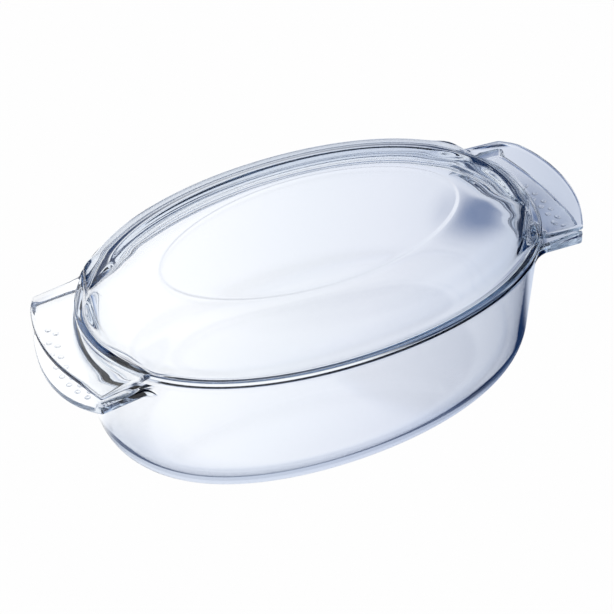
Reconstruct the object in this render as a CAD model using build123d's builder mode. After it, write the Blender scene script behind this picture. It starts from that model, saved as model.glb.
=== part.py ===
"""Covered oval casserole dish in pressed glass: a dish with two scoop handles, and a domed lid with two arched handles.

Millimetres, +Z up, +X along the long axis.  The origin is at the middle of the dish's underside, on the table.
Both pieces are symmetric about the XZ and YZ planes.
"""

import os
from math import atan, cos, degrees, radians, sin

from build123d import *

# ---- driving dimensions ---------------------------------------------------------------------
overall_length = 385.0  # over the handles
rim_length = 328.4  # oval rim over its outer edge, along X
rim_width = 214.0  # and along Y
rim_top = 112.5  # height of the dish's rim above the table
lid_top = 138.6  # height of the lid's flat panel above the table

dish_wall = 5.0
wall_draft = 7.4  # how much further out the wall stands at the rim than at the table
heel_radius = 38.0  # outside radius between wall and base
bead_height = 5.0  # thick band around the rim
bead_proud = 2.0  # how far the band stands out from the wall

lid_gap = 0.3  # clearance under the lid's flange
flange_height = 4.4
end_ledge = 7.2  # flat step from the flange's edge to the dome, at the handles
side_ledge = 4.3  # and at the long sides
panel_length = 216.6  # flat oval panel on top of the dome
panel_width = 114.4
lid_wall = 5.0
lip_depth = 4.0  # ring under the flange that centres the lid in the dish's mouth
lip_clearance = 1.6
lip_width = 4.2

handle_width = 110.4  # both handles, across Y
handle_corner = 177.6  # X of a handle's corners, from where its outer edge bows out
handle_glass = 4.4
rim_relief = 1.5  # clearance around the dish's rim where the lid's handles pass over it
lid_handle_crown = 118.0  # top of the lid's handle along its middle
lid_handle_corner = 111.8  # and at its two outer corners, where the arch comes down
lid_handle_root = 116.6  # and where its two sides leave the flange
lid_handle_leg = 18.0  # width of each leg of the arch
scoop_floor = 88.0  # underside of the dish's handle at its outer edge
scoop_ends = 96.0  # and at its two sides
scoop_side_top = 106.2  # top of the upturned sides
scoop_rise = 5.0  # how much higher the floor is at the dish's wall


corner_radius = 3.0  # of the handles' corners in plan
edge_radius = 1.4  # rounding on the rim, and on the edges of the dish's handles
arch_edge_radius = 0.7  # and on the edges of the lid's handles, where the legs curve tightly

# ---- worked out from them -------------------------------------------------------------------
rim_a, rim_b = rim_length / 2, rim_width / 2
wall_a, wall_b = rim_a - bead_proud, rim_b - bead_proud
mouth_a, mouth_b = wall_a - dish_wall, wall_b - dish_wall
lip_a, lip_b = mouth_a - lip_clearance, mouth_b - lip_clearance
throat_a, throat_b = lip_a - lip_width, lip_b - lip_width
dome_a, dome_b = rim_a - end_ledge, rim_b - side_ledge
panel_a, panel_b = panel_length / 2, panel_width / 2

bead_bottom = rim_top - bead_height
flange_bottom = rim_top + lid_gap
flange_top = flange_bottom + flange_height
draft_angle = degrees(atan(wall_draft / bead_bottom))

reach = overall_length / 2
handle_half = handle_width / 2
lid_root_x = rim_a * 0.84  # inside the flange all the way across the handle
dish_root_x = rim_a * 0.80  # inside the dish's wall all the way across the handle


def oval(a, b):
    """Oval of four tangent arcs with half axes a and b, a little fuller than an ellipse."""
    end = 1.12 * b * b / a
    side = ((a - end) ** 2 + b**2 - end**2) / (2 * (b - end))
    turn = degrees(atan((side - b) / (a - end)))
    with BuildSketch() as outline:
        with BuildLine():
            CenterArc((a - end, 0), end, -turn, 2 * turn)
            CenterArc((0, b - side), side, turn, 180 - 2 * turn)
            CenterArc((end - a, 0), end, 180 - turn, 2 * turn)
            CenterArc((0, side - b), side, 180 + turn, 180 - 2 * turn)
        make_face()
    return outline.sketch


def dome(base, top, base_z, top_z, steps=5):
    """Solid whose side rises from the base oval to the top oval along a quarter ellipse."""
    with BuildPart() as solid:
        for step in range(steps + 1):
            turn = radians(90 * step / steps)
            a = top[0] + (base[0] - top[0]) * cos(turn)
            b = top[1] + (base[1] - top[1]) * cos(turn)
            with BuildSketch(Plane.XY.offset(base_z + (top_z - base_z) * sin(turn))):
                add(oval(a, b))
        loft()
    return solid.part


def tub(a, b, floor_z, top_z, heel):
    """Solid oval tub: drafted wall up to the half axes a and b at top_z, rounded into a flat floor."""
    narrowing = wall_draft * (top_z - floor_z) / bead_bottom
    with BuildPart() as solid:
        with BuildSketch(Plane.XY.offset(floor_z)):
            add(oval(a - narrowing, b - narrowing))
        extrude(amount=top_z - floor_z, taper=-draft_angle)
        fillet(solid.edges().group_by(Axis.Z)[0], radius=heel)
    return solid.part


def handle_plan(root_x):
    """Plan of a handle: straight sides along X, and an outer edge that bows out to the reach."""
    with BuildSketch() as plan:
        with BuildLine():
            bow = ThreePointArc((handle_corner, -handle_half), (reach, 0), (handle_corner, handle_half))
            Polyline(bow @ 1, (root_x, handle_half), (root_x, -handle_half), bow @ 0)
        make_face()
        fillet(plan.vertices().sort_by(Axis.X)[-2:], radius=corner_radius)
    return plan.sketch


def outer_edges(handle):
    """Edges that run round the top and the bottom of a handle's bowed outer face and its two corners."""
    outer_faces = handle.faces().filter_by(
        lambda face: face.center().X > handle_corner - 2 * corner_radius and abs(face.normal_at().Z) < 0.3
    )
    return outer_faces.edges().filter_by(lambda edge: abs(edge.tangent_at(0.5).Z) < 0.9)


def arch(crown, corner):
    """Section of the lid's handle: a level crown, with a leg that curves down at each side."""
    shoulder = handle_half - lid_handle_leg
    under = crown - handle_glass
    with BuildSketch() as section:
        with BuildLine():
            Line((0, crown), (shoulder, crown))
            Bezier((shoulder, crown), (handle_half - 6, crown), (handle_half, corner))
            Line((handle_half, corner), (handle_half, corner - handle_glass))
            Bezier((handle_half, corner - handle_glass), (handle_half - 8, under), (shoulder, under))
            Line((shoulder, under), (0, under))
            mirror(about=Plane.YZ)
        make_face()
    return section.sketch


def scoop(floor, ends):
    """Section of the dish's handle: a sagging floor between two upturned sides."""
    inner = handle_half - handle_glass
    with BuildSketch() as section:
        with BuildLine():
            TangentArc((0, floor), (handle_half, ends), tangent=(1, 0))
            Polyline((handle_half, ends), (handle_half, scoop_side_top), (inner, scoop_side_top), (inner, ends + 4))
            TangentArc((0, floor + handle_glass), (inner, ends + 4), tangent=(1, 0))
            mirror(about=Plane.YZ)
        make_face()
    return section.sketch


# ---- handles, made once at the +X end -------------------------------------------------------
with BuildPart() as lid_handle:
    with BuildSketch(Plane.YZ.offset(lid_root_x)):
        add(arch(flange_top, lid_handle_root))
    with BuildSketch(Plane.YZ.offset(reach)):
        add(arch(lid_handle_crown, lid_handle_corner))
    loft(ruled=True)
    with BuildSketch():
        add(handle_plan(lid_root_x))
    extrude(amount=lid_top, mode=Mode.INTERSECT)
    with BuildSketch():
        add(oval(rim_a + rim_relief, rim_b + rim_relief))
    extrude(amount=flange_bottom, mode=Mode.SUBTRACT)
    fillet(outer_edges(lid_handle), radius=arch_edge_radius)

with BuildPart() as dish_handle:
    with BuildSketch(Plane.YZ.offset(dish_root_x)):
        add(scoop(scoop_floor + scoop_rise, scoop_ends))
    with BuildSketch(Plane.YZ.offset(reach)):
        add(scoop(scoop_floor, scoop_ends))
    loft(ruled=True)
    with BuildSketch():
        add(handle_plan(dish_root_x))
    extrude(amount=lid_top, mode=Mode.INTERSECT)
    fillet(outer_edges(dish_handle), radius=edge_radius)

# ---- dish -----------------------------------------------------------------------------------
with BuildPart() as dish:
    add(tub(wall_a, wall_b, 0, bead_bottom, heel_radius))
    with BuildSketch(Plane.XY.offset(bead_bottom)):
        add(oval(rim_a, rim_b))
    extrude(amount=bead_height)
    add(dish_handle.part)
    mirror(dish_handle.part, about=Plane.YZ)
    add(tub(mouth_a, mouth_b, dish_wall, rim_top, heel_radius - dish_wall), mode=Mode.SUBTRACT)
    fillet(dish.faces().sort_by(Axis.Z)[-1].edges(), radius=edge_radius)
dish.part.label = "dish"

# ---- lid ------------------------------------------------------------------------------------
with BuildPart() as lid:
    with BuildSketch(Plane.XY.offset(flange_bottom)):
        add(oval(rim_a, rim_b))
    extrude(amount=flange_height)
    with BuildSketch(Plane.XY.offset(flange_bottom - lip_depth)):
        add(oval(lip_a, lip_b))
    extrude(amount=lip_depth)
    add(dome((dome_a, dome_b), (panel_a, panel_b), flange_top, lid_top))
    add(lid_handle.part)
    mirror(lid_handle.part, about=Plane.YZ)
    with BuildSketch(Plane.XY.offset(flange_bottom - lip_depth)):
        add(oval(throat_a, throat_b))
    extrude(amount=lip_depth, mode=Mode.SUBTRACT)
    inside_panel = (panel_a - lid_wall, panel_b - lid_wall)
    add(
        dome((throat_a, throat_b), inside_panel, flange_bottom, lid_top - lid_wall),
        mode=Mode.SUBTRACT,
    )
lid.part.label = "lid"

# ---- write ----------------------------------------------------------------------------------
os.makedirs("parts", exist_ok=True)
export_step(dish.part, "parts/dish.step")
export_step(lid.part, "parts/lid.step")
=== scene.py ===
import math

import bpy
import numpy as np
from mathutils import Matrix, Vector


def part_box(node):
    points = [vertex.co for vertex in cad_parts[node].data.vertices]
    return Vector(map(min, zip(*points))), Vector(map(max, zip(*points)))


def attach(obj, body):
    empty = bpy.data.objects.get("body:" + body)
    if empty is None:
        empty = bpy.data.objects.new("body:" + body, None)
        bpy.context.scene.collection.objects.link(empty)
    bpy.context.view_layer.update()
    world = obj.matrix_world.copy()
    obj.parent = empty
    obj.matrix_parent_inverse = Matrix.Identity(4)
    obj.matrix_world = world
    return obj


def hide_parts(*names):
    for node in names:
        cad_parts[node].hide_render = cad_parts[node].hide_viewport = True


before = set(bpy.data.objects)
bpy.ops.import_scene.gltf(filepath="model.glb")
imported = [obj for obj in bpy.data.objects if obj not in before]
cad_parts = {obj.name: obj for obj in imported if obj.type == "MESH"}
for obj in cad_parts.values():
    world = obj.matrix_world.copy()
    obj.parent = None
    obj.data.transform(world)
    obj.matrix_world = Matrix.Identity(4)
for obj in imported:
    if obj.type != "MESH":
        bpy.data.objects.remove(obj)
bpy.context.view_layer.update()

mm = 0.001
dishLow, dishHigh = (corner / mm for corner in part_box("dish"))
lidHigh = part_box("lid")[1] / mm

# All sizes are millimetres.  Seen from above, the dish and the lid are one oval with a handle at each end.
plan = {
    "rimLength": 328.4,  # over the rims' outer edge
    "rimWidth": dishHigh.y - dishLow.y,
    "fullness": 0.049,  # how much fuller than an ellipse the rims are
    "reach": (dishHigh.x - dishLow.x) / 2,  # to the outermost point of a handle
    "handleHalf": 55.2,  # half a handle's width
    "handleCorner": 177.6,  # X where a handle's straight side ends and its bowed edge starts
    "cornerRadius": 2.6,
    "bowColumns": 38,  # how finely each stretch of a quarter of the outline is divided
    "cornerColumns": 9,
    "sideColumns": 22,
    "rootColumns": 9,
    "rimColumns": 60,
    "bowEase": 0.45,  # how much closer together the bow's columns stand near its corner
    "shares": (0, 0.7, 0.75, 0.965, 1),  # where the stretches meet, as shares of the turn up to the root
    "squareness": 2.15,  # exponent of the oval that outsideOval measures from
}
rimA, rimB = plan["rimLength"] / 2, plan["rimWidth"] / 2


def smooth(x):
    x = np.clip(x, 0.0, 1.0)
    return x * x * (3 - 2 * x)


def ovalPoint(a, b, t, fullness=plan["fullness"]):
    c, s = np.cos(t), np.sin(t)
    return np.stack([a * c * (1 + fullness * s * s), b * s * (1 + fullness * c * c)], -1)


def ovalNormal(a, b, t, fullness=plan["fullness"]):
    step = 1e-4
    along = ovalPoint(a, b, t + step, fullness) - ovalPoint(a, b, t - step, fullness)
    across = np.stack([along[..., 1], -along[..., 0]], -1)
    return across / np.linalg.norm(across, axis=-1, keepdims=True)


def outsideOval(xy, a, b):  # roughly how far a point is outside an oval
    away = np.hypot(xy[..., 0], xy[..., 1])
    power = plan["squareness"]
    share = (np.abs(xy[..., 0] / a) ** power + np.abs(xy[..., 1] / b) ** power) ** (1 / power)
    return away * (1 - 1 / np.maximum(share, 1e-6))


def handledOutline(a, b, rootRadius):
    # Quarter outline from the tip of a handle to the middle of the long side: bow, corner, side, root, rim.
    # Each column has t, its place on the ovals further in, its edge point, and the way out from it.
    half, reach, corner = plan["handleHalf"], plan["reach"], plan["cornerRadius"]
    bow = reach - plan["handleCorner"]
    bowRadius = (bow**2 + half**2) / (2 * bow)
    bowCentre = reach - bowRadius
    cornerX = bowCentre + math.sqrt((bowRadius - corner) ** 2 - (half - corner) ** 2)
    bowTurn = math.atan2(half - corner, cornerX - bowCentre)

    low, high = 0.2, 1.2  # where the root's fillet meets the oval
    for _ in range(50):
        rootT = (low + high) / 2
        height = ovalPoint(a, b, rootT)[1] + rootRadius * ovalNormal(a, b, rootT)[1]
        low, high = (rootT, high) if height < half + rootRadius else (low, rootT)
    rootNormal = ovalNormal(a, b, rootT)
    rootX = ovalPoint(a, b, rootT)[0] + rootRadius * rootNormal[0]

    def ray(turn):
        return np.stack([np.cos(turn), np.sin(turn)], -1)

    def bowAt(u):
        ease = plan["bowEase"]
        out = ray(bowTurn * ((1 - ease) * u + ease * np.sin(u * math.pi / 2)))
        return [bowCentre, 0] + bowRadius * out, out

    def cornerAt(u):
        out = ray(bowTurn + (math.pi / 2 - bowTurn) * u)
        return [cornerX, half - corner] + corner * out, out

    def sideAt(u):
        x = cornerX + (rootX - cornerX) * u
        return np.stack([x, np.full_like(x, half)], -1), np.tile([0.0, 1.0], (len(u), 1))

    def rootAt(u):
        end = math.atan2(-rootNormal[1], -rootNormal[0])
        inward = ray(-math.pi / 2 + (end + math.pi / 2) * u)
        return [rootX, half + rootRadius] + rootRadius * inward, -inward

    stretches = []
    shares = plan["shares"]
    places = {"bow": bowAt, "corner": cornerAt, "side": sideAt, "root": rootAt}
    for n, (name, at) in enumerate(places.items()):
        columns = plan[name + "Columns"]
        u = np.arange(columns) / columns
        stretches.append((rootT * (shares[n] + (shares[n + 1] - shares[n]) * u), *at(u)))
    t = np.linspace(rootT, math.pi / 2, plan["rimColumns"] + 1)
    stretches.append((t, ovalPoint(a, b, t), ovalNormal(a, b, t)))
    t, edge, out = (np.concatenate([s[i] for s in stretches]) for i in range(3))

    flip = np.array([-1.0, 1.0])
    back = slice(-1, 0, -1)
    return {
        "t": np.concatenate([t[:-1], math.pi - t[back], math.pi + t[:-1], 2 * math.pi - t[back]]),
        "edge": np.concatenate([edge[:-1], edge[back] * flip, -edge[:-1], -edge[back] * flip]),
        "out": np.concatenate([out[:-1], out[back] * flip, -out[:-1], -out[back] * flip]),
    }


class Skin:  # rings of points, from the pole on one side of a bowl, round its rim, to the pole on the other
    def __init__(self):
        self.rings = []

    def ring(self, xy, z):
        z = np.broadcast_to(np.asarray(z, float), xy.shape[:1])
        self.rings.append(np.column_stack([xy, z]))

    def toObject(self, name, material):
        rings = np.array(self.rings) * mm
        columns = rings.shape[1]
        inner = rings[1:-1]
        count = len(inner)
        points = np.concatenate([inner.reshape(-1, 3), rings[0, :1], rings[-1, :1]])
        here = np.arange(columns)
        after = (here + 1) % columns
        faces = []
        for r in range(count - 1):
            a, b = r * columns, (r + 1) * columns
            faces += np.stack([a + here, b + here, b + after, a + after], -1).tolist()
        first, last = count * columns, count * columns + 1
        faces += np.stack([np.full(columns, first), here, after], -1).tolist()
        end = (count - 1) * columns
        faces += np.stack([np.full(columns, last), end + after, end + here], -1).tolist()
        mesh = bpy.data.meshes.new(name)
        mesh.from_pydata(points.tolist(), [], faces)
        mesh.shade_smooth()
        mesh.materials.append(material)
        piece = bpy.data.objects.new(name, mesh)
        bpy.context.scene.collection.objects.link(piece)
        return piece


def quarterTurn(steps, start=0, end=90):
    return np.radians(np.linspace(start, end, steps + 1))


def easeEnds(steps, pinch=0.11):  # shares from 0 to 1, closer together at both ends
    u = np.linspace(0, 1, steps + 1)
    return u - pinch * np.sin(2 * math.pi * u)


def softMin(a, b, radius):
    return (a + b - np.sqrt((a - b) ** 2 + radius**2)) / 2


# Colours are sRGB hex, as a maker would pick them, and Cycles wants linear light.
def linearColour(hexCode, alpha=1.0):
    channels = [int(hexCode[i : i + 2], 16) / 255 for i in (1, 3, 5)]
    return tuple(c / 12.92 if c <= 0.04045 else ((c + 0.055) / 1.055) ** 2.4 for c in channels) + (alpha,)


def addNode(tree, kind, inputs=(), links=(), **settings):
    # One node with its settings, input values by name or number, and incoming links as (input, node, output).
    node = tree.nodes.new(kind)
    for name, value in settings.items():
        setattr(node, name, value)
    for name, value in dict(inputs).items():
        node.inputs[name].default_value = value
    for name, source, output in links:
        tree.links.new(source.outputs[output], node.inputs[name])
    return node


# Borosilicate glass, pressed in a mould and fire polished: clear, with a cool blue grey that shows only where
# one looks along its thickness, and a very slight waviness left by the mould.
glassLook = {
    "ior": 1.474,
    "tint": "#54719a",  # what is left of white light after tintDepth
    "tintDepth": 460.0,
    "waveSize": 22.0,  # the mould's waviness, from crest to crest
    "waveHeight": 0.012,
}


def pressedBorosilicate():
    material = bpy.data.materials.new("pressed_borosilicate_glass")
    material.use_nodes = True
    tree = material.node_tree
    tree.nodes.clear()
    place = addNode(tree, "ShaderNodeTexCoord")
    waves = addNode(
        tree,
        "ShaderNodeTexNoise",
        {"Scale": 1 / (glassLook["waveSize"] * mm), "Detail": 1.0, "Roughness": 0.4},
        [("Vector", place, "Object")],
    )
    bump = addNode(
        tree,
        "ShaderNodeBump",
        {"Strength": 1.0, "Distance": glassLook["waveHeight"] * mm},
        [("Height", waves, "Fac")],
    )
    glass = addNode(
        tree,
        "ShaderNodeBsdfPrincipled",
        {
            "Base Color": (1, 1, 1, 1),
            "Roughness": 0.0,
            "IOR": glassLook["ior"],
            "Transmission Weight": 1.0,
        },
        [("Normal", bump, "Normal")],
    )
    density = 1 / (glassLook["tintDepth"] * mm)
    absorbed = [-math.log(c) for c in linearColour(glassLook["tint"])[:3]]
    strongest = max(absorbed)
    depth = addNode(
        tree,
        "ShaderNodeVolumeAbsorption",
        {
            "Color": tuple(1 - a / strongest for a in absorbed) + (1,),
            "Density": density * strongest,
        },
    )
    addNode(
        tree,
        "ShaderNodeOutputMaterial",
        links=[("Surface", glass, "BSDF"), ("Volume", depth, "Volume")],
    )
    return material


glass = pressedBorosilicate()
print("material: pressed borosilicate glass")

# The dish: an oval tub with a thick band round its rim, and a scoop at each end with upturned sides.
dishSizes = {
    "rimTop": dishHigh.z,
    "wall": 5.0,
    "floor": 5.0,
    "draft": 7.4,  # how much further out the wall stands at the rim than at the table
    "heel": 38.0,
    "bead": 5.0,  # height of the rim's band
    "proud": 2.0,  # how far the band stands out from the wall
    "rimRound": 1.5,
    "rootRadius": 7.0,
    "zoneTop": 106.4,  # the stretch of wall that a handle grows from
    "zoneBottom": 90.0,
    "glass": 4.4,  # thickness of a scoop
    "scoopFloor": 88.0,  # underside of a scoop at its outer edge
    "scoopRise": 5.0,  # how much higher it is at the wall
    "scoopSag": 8.0,  # how much lower the middle is than the sides
    "sideTop": 106.2,
    "sideInner": 49.6,  # |Y| where the upturned sides start to rise
    "sideFlank": 2.6,  # width over which they rise
    "edgeRound": 1.5,
    "topFillet": 7.0,
    "underFillet": 6.0,
    "riseStart": 0.8,  # share of the rim's length where the scoop is at its highest
    "bandRound": 1.2,  # rounding on the band's lower edge
    "handleBlend": 7.0,  # width over which a handle grows out of the wall
    "floorShares": (0, 0.12, 0.25, 0.4, 0.55, 0.7, 0.85, 0.95),  # where the floor's rings lie
    "heelRings": 30,
    "wallRings": 12,  # inside
    "lowerRings": 9,  # outside, below the handles
    "topRings": 30,  # across a scoop
    "underRings": 16,
}


def scoopUnder(xy):
    size = dishSizes
    start = rimA * size["riseStart"]
    inward = 1 - np.clip((np.abs(xy[:, 0]) - start) / (plan["reach"] - start), 0, 1)
    sag = size["scoopSag"] * (xy[:, 1] / plan["handleHalf"]) ** 2
    return size["scoopFloor"] + size["scoopRise"] * inward + sag


def scoopTop(xy):
    size = dishSizes
    floor = scoopUnder(xy) + size["glass"]
    side = smooth((np.abs(xy[:, 1]) - size["sideInner"]) / size["sideFlank"])
    return floor + (size["sideTop"] - floor) * side


def hollow(distance, radius):  # a concave fillet's height as a share, from 1 at the wall to 0 at its radius
    left = np.clip(1 - distance / radius, 0, 1)
    return 1 - np.sqrt(1 - left**2)


def makeDish():
    size = dishSizes
    lean = math.atan(size["draft"] / (size["rimTop"] - size["bead"]))
    bandBottom = size["rimTop"] - size["bead"]
    wallA, wallB = rimA - size["proud"], rimB - size["proud"]
    rootInset = size["draft"] * (bandBottom - (size["zoneTop"] + size["zoneBottom"]) / 2) / bandBottom
    outline = handledOutline(wallA - rootInset, wallB - rootInset, size["rootRadius"])
    t, edge, out = outline["t"], outline["edge"], outline["out"]
    wallOut, wallLine = ovalNormal(wallA, wallB, t), ovalPoint(wallA, wallB, t)
    rimLine = wallLine + wallOut * size["proud"]

    def wallAt(z, inset=0.0):
        return wallLine - wallOut * (inset + size["draft"] * (bandBottom - z) / bandBottom)[..., None]

    def column(z):
        return np.broadcast_to(np.asarray(z, float), t.shape)

    skin = Skin()
    # Inside: floor, heel and wall.
    innerHeel = size["heel"] - size["wall"]
    heelTop = size["floor"] + innerHeel * (1 - math.sin(lean))
    start = wallAt(column(heelTop), size["wall"])
    floorLine = start - wallOut * innerHeel * math.cos(lean)
    for share in size["floorShares"]:
        skin.ring(floorLine * share, size["floor"])
    for turn in quarterTurn(size["heelRings"], 90, math.degrees(lean)):
        inset = innerHeel * (math.cos(lean) - math.cos(turn))
        skin.ring(start - wallOut * inset, size["floor"] + innerHeel * (1 - math.sin(turn)))
    r = size["rimRound"]
    for z in np.linspace(heelTop, size["rimTop"] - r, size["wallRings"])[1:]:
        skin.ring(wallAt(column(z), size["wall"]), z)
    # Over the rim and round its band.
    inner = wallAt(column(size["rimTop"] - r), size["wall"])
    for turn in quarterTurn(6)[1:]:
        skin.ring(inner + wallOut * r * (1 - math.cos(turn)), size["rimTop"] - r + r * math.sin(turn))
    for turn in quarterTurn(6):
        skin.ring(rimLine - wallOut * r * (1 - math.sin(turn)), size["rimTop"] - r + r * math.cos(turn))
    skin.ring(rimLine, (size["rimTop"] + bandBottom) / 2)
    under = size["bandRound"]
    for turn in quarterTurn(5):
        skin.ring(rimLine - wallOut * under * (1 - math.cos(turn)), bandBottom + under * (1 - math.sin(turn)))
    tuck = size["proud"] - under
    for turn in quarterTurn(4)[1:]:
        skin.ring(wallLine + wallOut * tuck * (1 - math.sin(turn)), bandBottom - tuck * (1 - math.cos(turn)))

    # The handles.  Where there is no handle, the same rings lie one below the other on the wall.
    topShares, underShares = easeEnds(size["topRings"]), easeEnds(size["underRings"])
    edgeTurns = quarterTurn(5)
    ringCount = len(topShares) + len(underShares) + 2 * len(edgeTurns)
    drop = iter(np.linspace(0, 1, ringCount))
    isHandle = smooth(outsideOval(edge, wallA - rootInset, wallB - rootInset) / size["handleBlend"])
    e = size["edgeRound"]

    def handleRing(xy, z):
        flatZ = column(size["zoneTop"] + (size["zoneBottom"] - size["zoneTop"]) * next(drop))
        share = isHandle[:, None]
        skin.ring(wallAt(flatZ) * (1 - share) + xy * share, flatZ * (1 - isHandle) + z * isHandle)

    edgeStart = edge - out * e
    high = wallAt(column(size["zoneTop"]))
    highRise = size["zoneTop"] - scoopTop(high)
    for share in topShares:
        xy = high + (edgeStart - high) * share
        away = np.linalg.norm(xy - high, axis=1)
        handleRing(xy, scoopTop(xy) + highRise * hollow(away, size["topFillet"]))
    for turn in edgeTurns:
        xy = edge - out * e * (1 - math.sin(turn))
        handleRing(xy, scoopTop(xy) - e * (1 - math.cos(turn)))
    for turn in edgeTurns[::-1]:
        xy = edge - out * e * (1 - math.sin(turn))
        handleRing(xy, scoopUnder(xy) + e * (1 - math.cos(turn)))
    low = wallAt(column(size["zoneBottom"]))
    lowDrop = scoopUnder(low) - size["zoneBottom"]
    for share in underShares:
        xy = edgeStart + (low - edgeStart) * share
        away = np.linalg.norm(xy - low, axis=1)
        handleRing(xy, scoopUnder(xy) - lowDrop * hollow(away, size["underFillet"]))

    # Outside: wall, heel and base.
    heelTop = size["heel"] * (1 - math.sin(lean))
    for z in np.linspace(size["zoneBottom"], heelTop, size["lowerRings"])[1:]:
        skin.ring(wallAt(column(z)), z)
    start = wallAt(column(heelTop))
    for turn in quarterTurn(size["heelRings"], math.degrees(lean), 90)[1:]:
        inset = size["heel"] * (math.cos(turn) - math.cos(lean))
        skin.ring(start + wallOut * inset, size["heel"] * (1 - math.sin(turn)))
    baseLine = start - wallOut * size["heel"] * math.cos(lean)
    for share in size["floorShares"][::-1]:
        skin.ring(baseLine * share, 0.0)
    return skin.toObject("glass_dish", glass)


dish = makeDish()
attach(dish, "dish")
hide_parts("dish")
print("dish:", len(dish.data.polygons), "faces")

# Grip dots: two staggered rows of low round dots on the underside of each of the dish's handles.
dotSizes = {
    "insets": (9.7, 14.7),  # of the rows from the handle's outer edge
    "pitch": 10.0,
    "reach": 38.0,  # |Y| of the outermost dots
    "width": 4.2,
    "height": 1.3,
    "segments": 12,
    "rings": 6,
}


def dotPlaces():
    bow = plan["reach"] - plan["handleCorner"]
    radius = (bow**2 + plan["handleHalf"] ** 2) / (2 * bow)
    places = []
    for row, inset in enumerate(dotSizes["insets"]):
        reach = dotSizes["reach"] - row * dotSizes["pitch"] / 2
        for y in np.arange(-reach, reach + 1, dotSizes["pitch"]):
            x = plan["reach"] - radius + math.sqrt((radius - inset) ** 2 - y**2)
            places += [(x, y), (-x, -y)]
    xy = np.array(places)
    return np.column_stack([xy, scoopUnder(xy) - dotSizes["height"] / 2]) * mm


def dotTree():
    tree = bpy.data.node_groups.new("grip_dots", "GeometryNodeTree")
    sockets = {}
    inputs = {"Geometry": "Geometry", "Width": "Float", "Height": "Float", "Glass": "Material"}
    for name, kind in inputs.items():
        socket = tree.interface.new_socket(name, in_out="INPUT", socket_type="NodeSocket" + kind)
        sockets[name] = socket.identifier
    tree.interface.new_socket("Geometry", in_out="OUTPUT", socket_type="NodeSocketGeometry")
    given = addNode(tree, "NodeGroupInput")
    ball = {"Segments": dotSizes["segments"], "Rings": dotSizes["rings"], "Radius": 0.5}
    dot = addNode(tree, "GeometryNodeMeshUVSphere", ball)
    size = addNode(
        tree,
        "ShaderNodeCombineXYZ",
        links=[("X", given, "Width"), ("Y", given, "Width"), ("Z", given, "Height")],
    )
    dots = addNode(
        tree,
        "GeometryNodeInstanceOnPoints",
        links=[("Points", given, "Geometry"), ("Instance", dot, "Mesh"), ("Scale", size, "Vector")],
    )
    real = addNode(tree, "GeometryNodeRealizeInstances", links=[("Geometry", dots, "Instances")])
    soft = addNode(tree, "GeometryNodeSetShadeSmooth", links=[("Geometry", real, "Geometry")])
    made = addNode(
        tree,
        "GeometryNodeSetMaterial",
        links=[("Geometry", soft, "Geometry"), ("Material", given, "Glass")],
    )
    addNode(tree, "NodeGroupOutput", links=[("Geometry", made, "Geometry")])
    return tree, sockets


def makeDots():
    mesh = bpy.data.meshes.new("grip_dots")
    mesh.from_pydata(dotPlaces().tolist(), [], [])
    piece = bpy.data.objects.new("grip_dots", mesh)
    bpy.context.scene.collection.objects.link(piece)
    modifier = piece.modifiers.new("grip_dots", "NODES")
    tree, sockets = dotTree()
    modifier.node_group = tree
    modifier[sockets["Width"]] = dotSizes["width"] * mm
    modifier[sockets["Height"]] = dotSizes["height"] * mm
    modifier[sockets["Glass"]] = glass
    ready = piece.evaluated_get(bpy.context.evaluated_depsgraph_get())
    finished = bpy.data.meshes.new_from_object(ready)
    piece.modifiers.clear()
    piece.data = finished
    return piece


dots = makeDots()
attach(dots, "dish")
print("grip dots:", len(dots.data.polygons), "faces")

# The lid: a flange that carries on as an arched handle at each end, a dome with a flat oval panel, and a ring
# under the flange that drops into the dish's mouth.
lidSizes = {
    "top": lidHigh.z,
    "gap": 0.3,  # between the flange and the dish's rim
    "flange": 4.4,
    "domeLength": 318.6,
    "domeWidth": 205.4,
    "panelLength": 216.6,
    "panelWidth": 114.4,
    "panelFullness": -0.025,
    "padHeight": 0.9,  # the panel stands this much above the dome's start, with a soft edge
    "padEdge": 2.8,  # width of that edge
    "padRings": 9,
    "crease": 0.12,  # share of the dome's fall that is straight
    "domeCurve": 2.4,
    "wall": 5.0,
    "domeFillet": 2.0,
    "rootRadius": 4.0,
    "crownRise": 0.8,  # how much higher the handle's crown is at its edge than the flange
    "crownStart": 150.0,  # |X| where it starts to rise
    "crownRun": 40.0,
    "facetRoot": (142.0, 56.0, 117.0),  # three points on the slope down to a handle's corner
    "facetShoulder": (183.0, 40.0, 118.4),
    "facetCorner": (177.6, 55.2, 113.2),
    "facetRound": 1.6,
    "facetBlend": 5.0,  # width over which the slope sets in outside the rim
    "edgeRound": 1.5,
    "recess": 4.5,  # how far the dome's foot draws in beside a handle
    "recessAt": 33.0,  # |Y| where it does
    "recessWidth": 11.0,
    "runOut": 2.4,  # how far it stands out again where a handle ends
    "runOutWidth": 6.0,
    "ringClearance": 8.6,  # from the rim's edge in to the centring ring
    "ringWidth": 4.2,
    "ringDepth": 4.0,
    "ringRound": 1.4,
    "ringFillet": 0.8,  # between the flange and the ring
    "panelShares": (0, 0.15, 0.3, 0.45, 0.6, 0.72, 0.82, 0.9),  # where the panel's rings lie
    "innerStart": 0.96,  # and of one more on the inside
    "domeRings": 28,
    "handleRings": 20,
    "handlePinch": 0.08,  # how much closer together these lie at both ends
}


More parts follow.
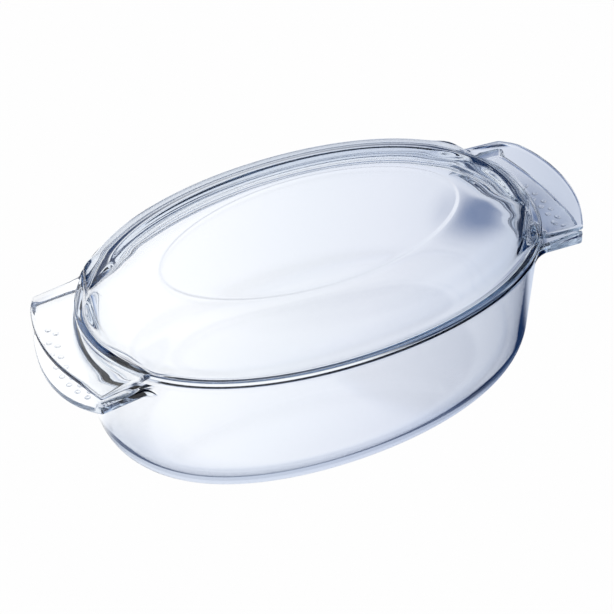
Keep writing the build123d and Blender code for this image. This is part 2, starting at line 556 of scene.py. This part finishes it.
def handleTop(xy):
    size = lidSizes
    flangeTop = dishSizes["rimTop"] + size["gap"] + size["flange"]
    x, y = np.abs(xy[:, 0]), np.abs(xy[:, 1])
    crown = flangeTop + size["crownRise"] * smooth((x - size["crownStart"]) / size["crownRun"])
    root, shoulder, corner = (Vector(size[k]) for k in ("facetRoot", "facetShoulder", "facetCorner"))
    slope = (shoulder - root).cross(corner - root)
    facet = root.z - ((x - root.x) * slope.x + (y - root.y) * slope.y) / slope.z
    fall = np.maximum(crown - softMin(crown, facet, size["facetRound"]), 0)
    return crown - fall * smooth(outsideOval(xy, rimA, rimB) / size["facetBlend"])


def thumbWave(xy):
    # How far the dome's foot stands out: it draws in for a thumb on each half of a handle, and runs out at
    # the handle's ends.
    size = lidSizes
    y = np.abs(xy[:, 1])
    recess = size["recess"] * np.exp(-(((y - size["recessAt"]) / size["recessWidth"]) ** 2))
    runOut = size["runOut"] * np.exp(-(((y - plan["handleHalf"]) / size["runOutWidth"]) ** 2))
    return np.where(np.abs(xy[:, 0]) > rimA / 2, runOut - recess, 0.0)


def makeLid():
    size = lidSizes
    outline = handledOutline(rimA, rimB, size["rootRadius"])
    t, edge, out = outline["t"], outline["edge"], outline["out"]
    flangeBottom = dishSizes["rimTop"] + size["gap"]
    flangeTop = flangeBottom + size["flange"]
    domeA, domeB = size["domeLength"] / 2, size["domeWidth"] / 2
    panelLine = ovalPoint(size["panelLength"] / 2, size["panelWidth"] / 2, t, size["panelFullness"])
    domeLine, domeOut = ovalPoint(domeA, domeB, t), ovalNormal(domeA, domeB, t)
    domeLine = domeLine + domeOut * thumbWave(domeLine)[:, None]
    ringA, ringB = rimA - size["ringClearance"], rimB - size["ringClearance"]
    ringLine, ringOut = ovalPoint(ringA, ringB, t), ovalNormal(ringA, ringB, t)
    throatLine = ringLine - ringOut * size["ringWidth"]

    skin = Skin()
    # Panel, dome, and the fillet at the dome's foot.
    panelOut = ovalNormal(1, size["panelWidth"] / size["panelLength"], t)
    for share in size["panelShares"]:
        skin.ring(panelLine * share, size["top"])
    for step in np.linspace(0, 1, size["padRings"])[:-1]:
        xy = panelLine - panelOut * size["padEdge"] * (1 - step)
        skin.ring(xy, size["top"] - size["padHeight"] * smooth(step))
    footZ = flangeTop + size["domeFillet"]
    domeTop = size["top"] - size["padHeight"]
    for turn in quarterTurn(size["domeRings"], 90, 0):
        along = max(math.cos(turn), 0) ** (2 / size["domeCurve"])
        fall = 1 - max(math.sin(turn), 0) ** (2 / size["domeCurve"])
        fall = size["crease"] * along + (1 - size["crease"]) * fall
        skin.ring(panelLine + (domeLine - panelLine) * along, domeTop - (domeTop - footZ) * fall)
    for turn in quarterTurn(6)[1:]:
        spread = size["domeFillet"] * (1 - math.cos(turn))
        skin.ring(domeLine + domeOut * spread, footZ - size["domeFillet"] * math.sin(turn))
    # Flange and handles: top, edge and underside.
    start = domeLine + domeOut * size["domeFillet"]
    e = size["edgeRound"]
    edgeStart = edge - out * e
    handleShares = easeEnds(size["handleRings"], size["handlePinch"])[1:]
    for share in handleShares:
        xy = start + (edgeStart - start) * share
        skin.ring(xy, handleTop(xy))
    for turn in quarterTurn(6)[1:]:
        xy = edge - out * e * (1 - math.sin(turn))
        skin.ring(xy, handleTop(xy) - e * (1 - math.cos(turn)))
    for turn in quarterTurn(6)[::-1]:
        xy = edge - out * e * (1 - math.sin(turn))
        skin.ring(xy, handleTop(xy) - size["flange"] + e * (1 - math.cos(turn)))
    tuck = size["ringFillet"]
    ringStart = ringLine + ringOut * tuck
    for share in handleShares:
        xy = edgeStart + (ringStart - edgeStart) * share
        skin.ring(xy, handleTop(xy) - size["flange"])
    # The centring ring.
    for turn in quarterTurn(4)[1:]:
        xy = ringLine + ringOut * tuck * (1 - math.sin(turn))
        skin.ring(xy, flangeBottom - tuck * (1 - math.cos(turn)))
    r = size["ringRound"]
    ringBottom = flangeBottom - size["ringDepth"]
    for turn in quarterTurn(5):
        skin.ring(ringLine - ringOut * r * (1 - math.cos(turn)), ringBottom + r * (1 - math.sin(turn)))
    for turn in quarterTurn(5):
        skin.ring(throatLine + ringOut * r * (1 - math.sin(turn)), ringBottom + r * (1 - math.cos(turn)))
    # Inside of the dome and of the panel.
    innerTop = size["top"] - size["wall"]
    innerPanel = panelLine - panelOut * size["wall"]
    for turn in quarterTurn(size["domeRings"]):
        xy = innerPanel + (throatLine - innerPanel) * math.cos(turn)
        skin.ring(xy, flangeBottom + (innerTop - flangeBottom) * math.sin(turn))
    skin.ring(innerPanel * size["innerStart"], innerTop)
    for share in size["panelShares"][::-1]:
        skin.ring(innerPanel * share, innerTop)
    return skin.toObject("glass_lid", glass)


lid = makeLid()
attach(lid, "lid")
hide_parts("lid")
print("lid:", len(lid.data.polygons), "faces")

# Camera, a little above a long side and off to one end.
cameraSizes = {
    "azimuth": -27.14,
    "elevation": 39.16,
    "roll": -1.14,
    "distance": 1572.0,
    "lens": 138.8,
    "sensor": 36.0,
    "farthest": 50000.0,  # beyond this it sees nothing
    "aimHeight": 111.0,
    "aimRight": -3.3,  # from the middle of the rim to the middle of the picture
    "aimUp": -29.3,
}


def makeCamera():
    size = cameraSizes
    azimuth, elevation, roll = (math.radians(size[k]) for k in ("azimuth", "elevation", "roll"))
    back = Vector(
        (
            math.sin(azimuth) * math.cos(elevation),
            -math.cos(azimuth) * math.cos(elevation),
            math.sin(elevation),
        )
    )
    level = Vector((0, 0, 1)).cross(back).normalized()
    upright = back.cross(level)
    right = level * math.cos(roll) + upright * math.sin(roll)
    up = upright * math.cos(roll) - level * math.sin(roll)
    middle = Vector((0, 0, size["aimHeight"]))
    eye = middle + back * size["distance"]
    aim = middle + right * size["aimRight"] + up * size["aimUp"]
    look = (eye - aim).normalized()
    right = up.cross(look).normalized()
    up = look.cross(right)
    camera = bpy.data.objects.new("camera", bpy.data.cameras.new("camera"))
    bpy.context.scene.collection.objects.link(camera)
    turned = Matrix((right, up, look)).transposed().to_4x4()
    camera.matrix_world = Matrix.Translation(eye * mm) @ turned
    camera.data.lens = size["lens"]
    camera.data.sensor_width = size["sensor"]
    camera.data.clip_end = size["farthest"] * mm
    bpy.context.scene.camera = camera


makeCamera()

# Studio: a white light table under a soft bright dome of light.  The camera sees both as white.  Rays bent
# by the glass see painted shade on the table: it turns cool grey towards the front right, and is darkest
# along the front of the dish and behind its right end, where painted shadows of the dish lie.  They also see
# it darken far out at the front left.  Rays that were also mirrored on their way see a dark flag at the front
# right, a dark far table and a dark horizon, which draw the glass's edges.
studio = {
    "seen": "#fefefe",  # table and surround as the camera sees them directly
    "gain": 1.12,  # how much brighter bent rays see them
    "tableSize": 9000.0,
    "tableDrop": 0.2,  # how far the table lies under the dish
    "tableShadeWay": (0.85, -0.53, 0),  # the way the painted shade on the table deepens, and its colour at distances along it
    "tableShadeStops": (
        (-150, "#ffffff"),
        (-90, "#f9fafd"),
        (-20, "#eff2f8"),
        (40, "#e8ebf4"),
        (100, "#dadfeb"),
        (170, "#c8d0e0"),
    ),
    "dark": "#11294c",
    "middle": (-60, 0, 0),  # middle of the table's bright part
    "bright": (340.0, 620.0),  # radii between which it fades
    "flagWay": (0.72, -0.69, 0),  # the way to the dark flag at the front right
    "flagStops": (
        (116, "#ffffff"),
        (124, "#a3b1c9"),
        (130, "#3f5679"),
        (140, "#1f365a"),
    ),
    "flagFront": (0.0, 30.0),  # distances towards the front between which it sets in
    "sideFlagWay": (-0.8, -0.6, 0),  # another at the front left, further out
    "sideFlagStops": (
        (240, "#ffffff"),
        (350, "#1c3458"),
    ),
    "shadeOval": (165.0, 101.0),  # the dish's shade along its front, by the share of this oval's size
    "shadeStops": (
        (0.62, "#ffffff"),
        (0.8, "#e6eaf2"),
        (0.94, "#d3dae6"),
        (0.96, "#22385c"),
        (1.03, "#22385c"),
        (1.06, "#c2cada"),
        (1.3, "#c2cada"),
        (1.8, "#ffffff"),
    ),
    "shadeWay": (-0.35, -0.94, 0),
    "shadeFront": (5.0, 50.0),  # distances between which it sets in
    # painted shadow: bent rays see the table darker behind the dish's right end
    "cardColour": "#8595b3",
    "paintedShadowMiddle": (210.0, 100.0, 0),  # middle of a painted shadow of the dish's right end, on the table
    "card": (60.0, 8.0),  # radii between which the table fades to it
    "skyThrough": "#dfe5ef",  # the surround for rays that were only bent
    "skyUp": (-0.36, 0.06, 0.93),  # the way to the brightest part
    "skyCardWay": (0.6, 0.36, 0.71),  # the way to a dark card overhead, behind the right end
    "skyCard": (0.87, 0.96),  # cosines between which the surround fades to it
    "skyStops": (
        (0.0, "#071a36"),
        (0.1, "#10305c"),
        (0.27, "#8298be"),
        (0.42, "#e6ecf7"),
        (0.7, "#ffffff"),
    ),
}


def colourStops(ramp, stops):
    ramp.interpolation = "LINEAR"
    while len(ramp.elements) < len(stops):
        ramp.elements.new(1.0)
    for element, (position, colour) in zip(ramp.elements, stops):
        element.position = position
        element.color = linearColour(colour)


def pickByRay(tree, bent):  # bent and mirrored rays see what the node says, and the camera sees white
    path = addNode(tree, "ShaderNodeLightPath")
    colour = addNode(
        tree,
        "ShaderNodeMix",
        {7: linearColour(studio["seen"])},
        [(0, path, "Is Camera Ray"), (6, *bent)],
        data_type="RGBA",
    )
    gain = addNode(
        tree,
        "ShaderNodeMapRange",
        {"To Min": studio["gain"], "To Max": 1.0},
        [("Value", path, "Is Camera Ray")],
    )
    return [("Color", colour, 2), ("Strength", gain, "Result")]


def ifMirrored(tree, share=None):  # 1 or the share for rays that were mirrored on their way, 0 for others
    path = addNode(tree, "ShaderNodeLightPath")
    mirrored = addNode(tree, "ShaderNodeMath", {1: 1.0}, [(0, path, "Glossy Depth")], operation="MINIMUM")
    if share is None:
        return mirrored, "Value"
    links = [(0, mirrored, "Value"), (1, share, "Result")]
    return addNode(tree, "ShaderNodeMath", links=links, operation="MULTIPLY"), "Value"


def between(tree, source, low, high):
    return addNode(
        tree,
        "ShaderNodeMapRange",
        {"From Min": low, "From Max": high},
        [("Value", source, "Value")],
        interpolation_type="SMOOTHSTEP",
    )


def vectorMath(tree, operation, source, vector):
    inputs = {} if vector is None else {1: vector}
    return addNode(tree, "ShaderNodeVectorMath", inputs, [(0, *source)], operation=operation)


def mixTo(tree, share, source, colour, blend="MIX"):
    return addNode(
        tree,
        "ShaderNodeMix",
        {7: linearColour(colour)},
        [(0, *share), (6, *source)],
        data_type="RGBA",
        blend_type=blend,
    )


def colourAlong(tree, distance, stops):
    first, last = stops[0][0], stops[-1][0]
    share = addNode(tree, "ShaderNodeMapRange", {"From Min": first, "From Max": last}, [("Value", *distance)])
    ramp = addNode(tree, "ShaderNodeValToRGB", links=[("Fac", share, "Result")])
    colourStops(ramp.color_ramp, [((place - first) / (last - first), colour) for place, colour in stops])
    return ramp


def shadeAlong(tree, distance, stops, source, share=None):
    links = [(6, *source), (7, colourAlong(tree, distance, stops), "Color")]
    if share:
        links.append((0, *share))
    mixed = addNode(tree, "ShaderNodeMix", {0: 1.0}, links, data_type="RGBA", blend_type="MULTIPLY")
    return mixed, 2


def makeTable():
    mesh = bpy.data.meshes.new("table")
    half = studio["tableSize"] / 2 * mm
    corners = [(-half, -half, 0), (half, -half, 0), (half, half, 0), (-half, half, 0)]
    mesh.from_pydata(corners, [], [(0, 1, 2, 3)])
    material = bpy.data.materials.new("white_light_table")
    material.use_nodes = True
    tree = material.node_tree
    tree.nodes.clear()
    coordinates = addNode(tree, "ShaderNodeTexCoord")
    place = (vectorMath(tree, "MULTIPLY", (coordinates, "Object"), (1 / mm,) * 3), "Vector")

    # painted shade: bent rays see the table turn cool grey towards the front right
    along = vectorMath(tree, "DOT_PRODUCT", place, studio["tableShadeWay"])
    colour = (colourAlong(tree, (along, "Value"), studio["tableShadeStops"]), "Color")
    away = between(tree, vectorMath(tree, "DISTANCE", place, studio["middle"]), *studio["bright"])
    colour = (mixTo(tree, ifMirrored(tree, away), colour, studio["dark"]), 2)
    front = vectorMath(tree, "DOT_PRODUCT", place, (0, -1, 0))
    nearFlag = between(tree, front, *studio["flagFront"])
    front = vectorMath(tree, "DOT_PRODUCT", place, studio["shadeWay"])
    nearShade = between(tree, front, *studio["shadeFront"])
    along = vectorMath(tree, "DOT_PRODUCT", place, studio["flagWay"])
    colour = shadeAlong(tree, (along, "Value"), studio["flagStops"], colour, ifMirrored(tree, nearFlag))
    along = vectorMath(tree, "DOT_PRODUCT", place, studio["sideFlagWay"])
    colour = shadeAlong(tree, (along, "Value"), studio["sideFlagStops"], colour)

    share = vectorMath(tree, "MULTIPLY", place, tuple(1 / size for size in studio["shadeOval"]) + (0,))
    length = vectorMath(tree, "LENGTH", (share, "Vector"), None)
    colour = shadeAlong(tree, (length, "Value"), studio["shadeStops"], colour, (nearShade, "Result"))
    # painted shadow of the dish's right end on the table, which bent rays see
    card = between(tree, vectorMath(tree, "DISTANCE", place, studio["paintedShadowMiddle"]), *studio["card"])
    colour = (mixTo(tree, (card, "Result"), colour, studio["cardColour"], "MULTIPLY"), 2)

    glow = addNode(tree, "ShaderNodeEmission", links=pickByRay(tree, colour))
    addNode(tree, "ShaderNodeOutputMaterial", links=[("Surface", glow, "Emission")])
    mesh.materials.append(material)
    table = bpy.data.objects.new("table", mesh)
    bpy.context.scene.collection.objects.link(table)
    table.location.z = -studio["tableDrop"] * mm


def makeSurround():
    world = bpy.data.worlds.new("studio")
    bpy.context.scene.world = world
    world.use_nodes = True
    tree = world.node_tree
    tree.nodes.clear()
    way = addNode(tree, "ShaderNodeTexCoord")
    rise = vectorMath(tree, "DOT_PRODUCT", (way, "Generated"), Vector(studio["skyUp"]).normalized())
    ramp = addNode(tree, "ShaderNodeValToRGB", links=[("Fac", rise, "Value")])
    colourStops(ramp.color_ramp, studio["skyStops"])
    sky = addNode(
        tree,
        "ShaderNodeMix",
        {6: linearColour(studio["skyThrough"])},
        [(0, *ifMirrored(tree)), (7, ramp, "Color")],
        data_type="RGBA",
    )
    toCard = vectorMath(tree, "DOT_PRODUCT", (way, "Generated"), Vector(studio["skyCardWay"]).normalized())
    card = between(tree, toCard, *studio["skyCard"])
    carded = mixTo(tree, (card, "Result"), (sky, 2), studio["dark"])
    glow = addNode(tree, "ShaderNodeBackground", links=pickByRay(tree, (carded, 2)))
    addNode(tree, "ShaderNodeOutputWorld", links=[("Surface", glow, "Background")])


makeTable()
makeSurround()
bounces = 36  # light runs a long way inside glass
scene = bpy.context.scene
scene.view_settings.view_transform = "Standard"
scene.cycles.max_bounces = bounces
scene.cycles.transmission_bounces = bounces
scene.cycles.glossy_bounces = bounces
scene.cycles.use_denoising = True
scene.cycles.denoising_input_passes = "RGB"
print("studio: table, surround and camera")
